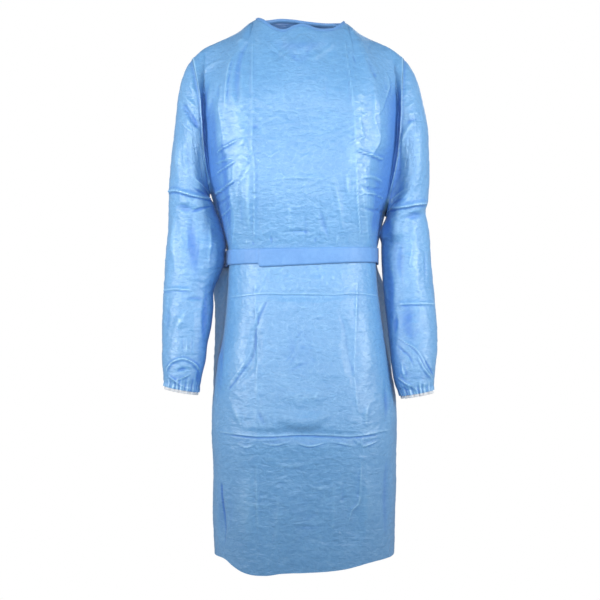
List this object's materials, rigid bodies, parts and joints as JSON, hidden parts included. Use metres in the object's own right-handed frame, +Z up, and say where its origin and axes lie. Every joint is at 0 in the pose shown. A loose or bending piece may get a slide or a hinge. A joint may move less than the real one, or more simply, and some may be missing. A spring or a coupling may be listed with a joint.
{
  "type": "isolation gown",
  "caption": "Long-sleeved disposable isolation gown, filled out as if worn, with a waist belt, elastic cuffs, a bound neck and a back that laps over and ties.",
  "frame": {"origin": "between the wearer's shoulders, level with the middle of the shoulder seams, in the plane of the side seams", "axes": "+Z up; the gown faces -Y; +X towards the wearer's left"},
  "size_m": [0.571, 0.3014, 1.1596],
  "materials": {
    "gown_cloth": "satin",
    "belt_tape": "satin",
    "white_elastic": "matte"
  },
  "bodies": {
    "root": {"front_panel": "gown_cloth", "back_panel_right": "gown_cloth", "back_panel_left": "gown_cloth", "sleeve_right": "gown_cloth", "sleeve_left": "gown_cloth", "neck_binding_front": "belt_tape", "neck_binding_right": "belt_tape", "neck_binding_left": "belt_tape", "belt": "belt_tape", "belt_knot": "belt_tape", "belt_end_right": "belt_tape", "belt_end_left": "belt_tape", "cuff_right": "white_elastic", "cuff_left": "white_elastic", "neck_tab": "white_elastic"}
  },
  "joints": []
}
